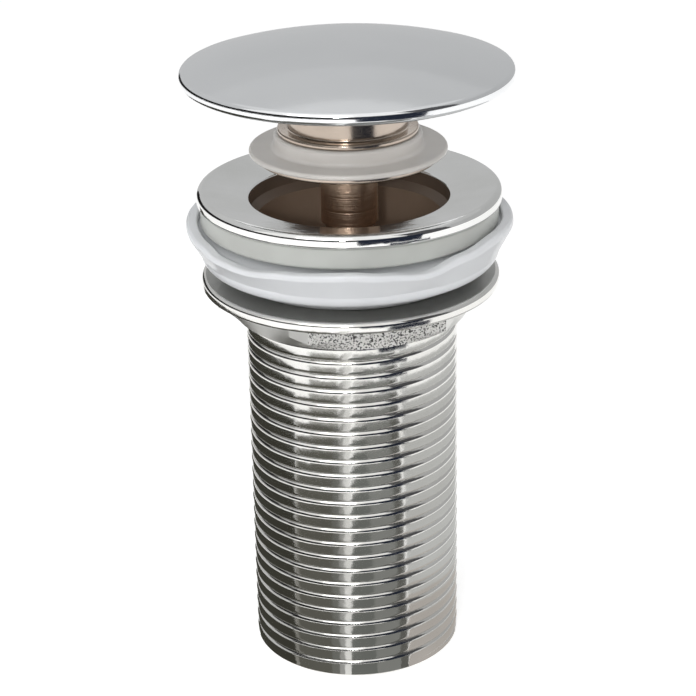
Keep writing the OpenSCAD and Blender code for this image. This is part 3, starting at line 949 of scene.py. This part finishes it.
bmesh.ops.recalc_face_normals(coil, faces=coil.faces[:])
spring = make_piece(
    "spring_coil", coil, "waste_body", "return_spring", [drawn_steel])
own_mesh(spring)

# %% [markdown]
# The stem that shows between the plug and the mouth is the sleeve of the cartridge. A plain tube
# is a closed ring section, turned like the rest, so that its streak of light has no facets.

# %% Stem

SLEEVE_BORE = 4.75
STEM_ROUND = 0.25
sleeve_r, sleeve_low, sleeve_top = reach("push_sleeve")
stem = Section(SLEEVE_BORE, sleeve_top).line(sleeve_r, sleeve_top)
stem.line(sleeve_r, sleeve_low, STEM_ROUND).line(SLEEVE_BORE, sleeve_low).close()
make_piece("stem", lathe(stem), "plug", "push_sleeve", [stem_brass])

# %% [markdown]
# The other solids keep their own meshes, because they are right as they are and hardly show. They
# only get a finish: brass for the cartridge and the spider, steel for the wire and the stud.

# %% Finish the plain solids

PLAIN_FINISH = {
    "sleeve_head": bare_brass,
    "cam_post": stem_brass,
    # The spider sits in the bore and shares its brass, which is painted paler as a painted light.
    "spider": bore_brass_painted_light,
    "lock_nut": bare_brass,
    "lock_washer": drawn_steel,
    "latch_wire": drawn_steel,
    "cap_stud": drawn_steel,
    "neck_o_ring": black_rubber,
}
for node, finish in PLAIN_FINISH.items():
    solid = frame["nodes"][node]
    solid.data.materials.clear()
    solid.data.materials.append(finish)
print("plain solids:", len(PLAIN_FINISH))

# %% [markdown]
# The background has to be white without more light on the waste. The Light Path node tells what a
# ray is for, so the floor and the room can be white for rays that look at them, from the camera,
# off gloss or through glass, and stay as they are for rays that gather light.

# %% Rays that look


def looked_at(owner):
    """A socket that is 1 for rays from the camera, off gloss and through glass, and else 0."""
    path = add(owner, "ShaderNodeLightPath")
    socket = path.outputs["Is Camera Ray"]
    for kind in ("Is Glossy Ray", "Is Transmission Ray"):
        either = add(owner, "ShaderNodeMath", operation="MAXIMUM")
        join(owner, socket, either.inputs[0])
        join(owner, path.outputs[kind], either.inputs[1])
        socket = either.outputs[0]
    return socket


# %% [markdown]
# The floor is pale and catches the shadow of the waste. A little glow of its own brings it up to
# the white of the background, so only the shadow is left to see. More lamps would do that too, and
# would wash the waste out. This glow is only for rays that look, so it lights nothing.

# %% Floor

FLOOR_SIZE = 3.0
FLOOR_DROP = 0.0002
FLOOR_TONE = (0.82, 0.82, 0.82, 1)
FLOOR_ROUGHNESS = 0.9
FLOOR_GLOW = 0.52
WHITE = (1, 1, 1, 1)
floor_mesh = bmesh.new()
bmesh.ops.create_grid(floor_mesh, x_segments=1, y_segments=1, size=FLOOR_SIZE)
bmesh.ops.translate(floor_mesh, verts=floor_mesh.verts[:], vec=(0, 0, -FLOOR_DROP))
floor = link_mesh("floor", floor_mesh)
pale, pale_shader = new_finish("pale_floor", metallic=0.0, roughness=FLOOR_ROUGHNESS)
pale_shader.inputs["Base Color"].default_value = FLOOR_TONE
pale_shader.inputs["Specular IOR Level"].default_value = 0.0
pale_shader.inputs["Emission Color"].default_value = WHITE
glow = add(pale, "ShaderNodeMath", operation="MULTIPLY")
glow.inputs[1].default_value = FLOOR_GLOW
join(pale, looked_at(pale), glow.inputs[0])
join(pale, glow.outputs[0], pale_shader.inputs["Emission Strength"])
floor.data.materials.append(pale)
print("floor in m:", 2 * FLOOR_SIZE)

# %% [markdown]
# Bright metal shows what stands around it. A photographer puts cards and mats round it to draw its
# edges, and so does this scene, where a picture of a room would put its own shapes on the metal.
# Each card is a grid that a function puts in place, and it is seen only in reflections. A card has
# one colour, or two that fade into each other from left to right.

# %% A card

CARD_STEPS = 32
CARD_ROWS = 8
HALF = 0.5


def fade(cloth, left_colour, right_colour, half_width):
    """A colour that changes from left to right over a width in metres."""
    split = add(cloth, "ShaderNodeSeparateXYZ")
    join(cloth, object_place(cloth), split.inputs[0])
    span = add(cloth, "ShaderNodeMapRange")
    span.inputs["From Min"].default_value = -half_width
    span.inputs["From Max"].default_value = half_width
    join(cloth, split.outputs["X"], span.inputs["Value"])
    return stain(cloth, span.outputs[0], (0.0, 1.0), left_colour, right_colour)


def card(name, place, colour, right_colour=None, half_width=None):
    """A card whose grid is put in place by a function of two shares, in millimetres."""
    mesh = bmesh.new()
    bmesh.ops.create_grid(mesh, x_segments=CARD_STEPS, y_segments=CARD_ROWS, size=HALF)
    for vert in mesh.verts:
        vert.co = place(vert.co.x + HALF, vert.co.y + HALF) * MM
    made = link_mesh(name, mesh)
    cloth, shader = new_finish(name + "_cloth", metallic=0.0, roughness=1.0)
    shader.inputs["Base Color"].default_value = (0, 0, 0, 1)
    shader.inputs["Specular IOR Level"].default_value = 0.0
    shader.inputs["Emission Color"].default_value = (*colour, 1)
    shader.inputs["Emission Strength"].default_value = 1.0
    if right_colour:
        join(cloth, fade(cloth, colour, right_colour, half_width), shader.inputs["Emission Color"])
    made.data.materials.append(cloth)
    made.visible_camera = False
    made.visible_diffuse = False
    made.visible_shadow = False
    return made


# %% [markdown]
# A card's place is worked out from two shares between 0 and 1, across it and along it. Angles are
# counted from the front, where the camera is, and grow to the right.

# %% Places of cards


def between(ends, share):
    """The value at a share of the way from the first end to the second."""
    low, high = ends
    return low + (high - low) * share


def ahead(degrees):
    """A level direction that is turned from the front towards the right."""
    return Vector((math.sin(math.radians(degrees)), -math.cos(math.radians(degrees)), 0))


# %% [markdown]
# A wall of the tail that is turned by an angle shows the floor at twice that angle. A mat's edges
# follow that rule, so each of them is upright on the tail, and a mat is named by the angles of the
# wall that shows it and by how far out it starts and ends. Each mat lies a little above the one
# before, so two of them never share a plane.

# %% Mats on the floor

MAT_STEP = 0.02
mats = []


def mat(name, colour, wall_deg, far, near=0, slant=0):
    """A mat that shows on the tail's wall between two angles; a slant turns its far end leftwards."""
    lift = Vector((0, 0, MAT_STEP * (len(mats) + 1)))

    def place(across, along):
        turned = between(wall_deg, across) - slant * along
        out = between((near, between(far, across)), along)
        return ahead(turned) * THREAD_R + ahead(2 * turned) * out + lift

    mats.append(card(name, place, colour))


mat("olive_outer", (0.050, 0.049, 0.040), wall_deg=(-80, -38), far=(290, 138), slant=-5)
mat("light_stripe", (0.27, 0.265, 0.245), wall_deg=(-38, -35.5), far=(122, 120), slant=-5)
mat("olive_inner", (0.120, 0.118, 0.103), wall_deg=(-35.5, -15), far=(122, 122), slant=-4)
mat("silver_left", (0.165, 0.167, 0.155), wall_deg=(-15, -10.5), far=(122, 118), slant=-4)
mat("stripe_edge", (0.36, 0.36, 0.35), wall_deg=(-10.5, -7.5), far=(150, 190), slant=-3.5)
mat("bright_stripe", (0.85, 0.85, 0.84), wall_deg=(-7.5, -4), far=(190, 190), slant=-3.5)
mat("silver_right", (0.165, 0.172, 0.163), wall_deg=(-4, 11), far=(112, 140), slant=-3.5)
mat("far_olive", (0.36, 0.36, 0.34), wall_deg=(-24, -8), far=(170, 170), near=122)
mat("far_grey", (0.60, 0.60, 0.59), wall_deg=(0.3, 11), far=(170, 165), near=122)
mat("grey_mat", (0.25, 0.255, 0.245), wall_deg=(11, 25), far=(150, 150), slant=6)
mat("dark_stripe", (0.13, 0.13, 0.12), wall_deg=(25, 30), far=(150, 150), slant=6)
mat("pale_mat", (0.58, 0.585, 0.58), wall_deg=(30, 80), far=(150, 165), near=30, slant=4)
mat("rose_mat", (0.52, 0.49, 0.465), wall_deg=(30, 80), far=(30, 30))
print("mats:", len(mats))

# %% [markdown]
# The upright cards stand round the waste on circles about its axis. A low blue flag shows on the
# nut's rim, and a taller one with a band far behind it shows on the cap and the flange. Two black
# strips on the left, near eye level, draw the thin lines on the rims, and a slate flag darkens the
# right. A grey wall behind, in two heights, and a ceiling over it tone the cap and the flange down.

# %% Upright cards


def screen(name, colour, turn, radius, height, right_colour=None):
    """An upright card between two angles from the front and two heights."""
    def place(across, along):
        return ahead(between(turn, across)) * radius + Vector((0, 0, between(height, along)))
    card(name, place, colour, right_colour, radius * MM)


def canopy(name, colour, turn, radius, height):
    """A level card overhead, from a circle in to the axis, between two angles from the front."""
    def place(across, along):
        return ahead(between(turn, across)) * radius * (1 - along) + Vector((0, 0, height))
    card(name, place, colour)


NAVY = (0.02, 0.025, 0.04)
BLACK = (0.012, 0.012, 0.012)
SLATE = (0.085, 0.085, 0.09)
WALL_LEFT, WALL_RIGHT = (0.59, 0.595, 0.60), (0.47, 0.475, 0.48)
HIGH_LEFT, HIGH_RIGHT = (0.61, 0.615, 0.62), (0.54, 0.545, 0.55)
ROOF = (0.72, 0.725, 0.73)
BEHIND = (285, 75)
LEFT_SIDE = (-150, 5)
ROOM_R = 700
WALL_TOP = 560
ROOF_Z = 900
screen("low_flag", NAVY, turn=(26, 57), radius=185, height=(0, 30))
screen("navy_flag", NAVY, turn=(5, 50), radius=190, height=(30, 140))
screen("navy_band", NAVY, turn=(5, 41), radius=ROOM_R, height=(60, 330))
screen("right_flag", SLATE, turn=(41, 75), radius=400, height=(60, 620))
screen("eye_level", BLACK, turn=LEFT_SIDE, radius=900, height=(60, 340))
screen("left_flag", BLACK, turn=LEFT_SIDE, radius=190, height=(76, 140))
screen("back_wall", WALL_LEFT, BEHIND, ROOM_R, (0, WALL_TOP), WALL_RIGHT)
screen("high_wall", HIGH_LEFT, BEHIND, ROOM_R, (WALL_TOP, ROOF_Z), HIGH_RIGHT)
canopy("back_roof", ROOF, BEHIND, ROOM_R, ROOF_Z)

# %% [markdown]
# The room is soft and white. A picture of a studio could light it, but a plain background gives
# the even light of a photograph on white paper. The room is white to the eye and to reflections,
# and only about half as bright as a light, so colours come out about as written.

# %% Room

ROOM_LIGHT = 0.55
world = bpy.data.worlds.new("room")
bpy.context.scene.world = world
world.use_nodes = True
dim = world.node_tree.nodes["Background"]
seen = add(world, "ShaderNodeBackground")
for background, strength in ((dim, ROOM_LIGHT), (seen, 1.0)):
    background.inputs["Color"].default_value = WHITE
    background.inputs["Strength"].default_value = strength
mix = add(world, "ShaderNodeMixShader")
join(world, looked_at(world), mix.inputs["Fac"])
join(world, dim.outputs[0], mix.inputs[1])
join(world, seen.outputs[0], mix.inputs[2])
join(world, mix.outputs[0], world.node_tree.nodes["World Output"].inputs["Surface"])
print("room's light:", ROOM_LIGHT)

# %% [markdown]
# A small key lamp near the camera gives the metal its sparks, and a broad fill above it softens the
# shadow. Two weak lamps at the sides light the soft pieces and are kept out of the metal, where
# they would show as squares.

# %% Lamps

MIDDLE = Vector((0, 0, 0.07))
SIDE_OUT = 0.55


def lamp(name, place, size, watts):
    """A square soft lamp at a place, turned to the middle of the waste; sizes in metres."""
    data = bpy.data.lights.new(name, "AREA")
    data.size = size
    data.energy = watts
    made = bpy.data.objects.new(name, data)
    made.location = place
    made.rotation_euler = (MIDDLE - Vector(place)).to_track_quat("-Z", "Y").to_euler()
    bpy.context.scene.collection.objects.link(made)
    print("lamp:", name, "watts:", watts)
    return made


lamp("key", place=(-0.045, -0.45, 0.24), size=0.03, watts=0.4)
lamp("fill", place=(-0.2, -0.5, 0.45), size=0.4, watts=0.75)
for side, watts in ((-SIDE_OUT, 0.6), (SIDE_OUT, 0.4)):
    soft = lamp("side_fill", place=(side, -0.1, 0.3), size=0.4, watts=watts)
    soft.visible_glossy = False

# %% [markdown]
# The camera looks down at the waste from the front, a little tilted, with a long lens. Its angle
# and distance were worked out from the tail's edges and the ellipses of the mouth and the flange.
# A shift of the lens moves the picture sideways, where a turn of the camera would tilt the sides.

# %% Camera

FRAME_PX = 696
SENSOR = 36.0
FOCAL_PX = 2100
CAMERA_FAR = 0.4188
CAMERA_UP_DEG = 23.08
CAMERA_LEAN_DEG = -1.11
LOOK_Z = 0.0636
SIDE_PX = 4.2
CLIP_NEAR = 0.01
CLIP_FAR = 20.0
lens = bpy.data.cameras.new("camera")
lens.sensor_width = SENSOR
lens.lens = FOCAL_PX * SENSOR / FRAME_PX
lens.shift_x = -SIDE_PX / FRAME_PX
lens.clip_start = CLIP_NEAR
lens.clip_end = CLIP_FAR
camera = bpy.data.objects.new("camera", lens)
bpy.context.scene.collection.objects.link(camera)
up = math.radians(CAMERA_UP_DEG)
camera.location = (0, -CAMERA_FAR * math.cos(up), LOOK_Z + CAMERA_FAR * math.sin(up))
facing = Matrix.Rotation(QUARTER - up, 4, "X")
leaning = Matrix.Rotation(math.radians(CAMERA_LEAN_DEG), 4, "Z")
camera.rotation_euler = (facing @ leaning).to_euler()
bpy.context.scene.camera = camera
bpy.context.scene.view_settings.view_transform = "Standard"
print("lens in mm:", round(lens.lens, 2))
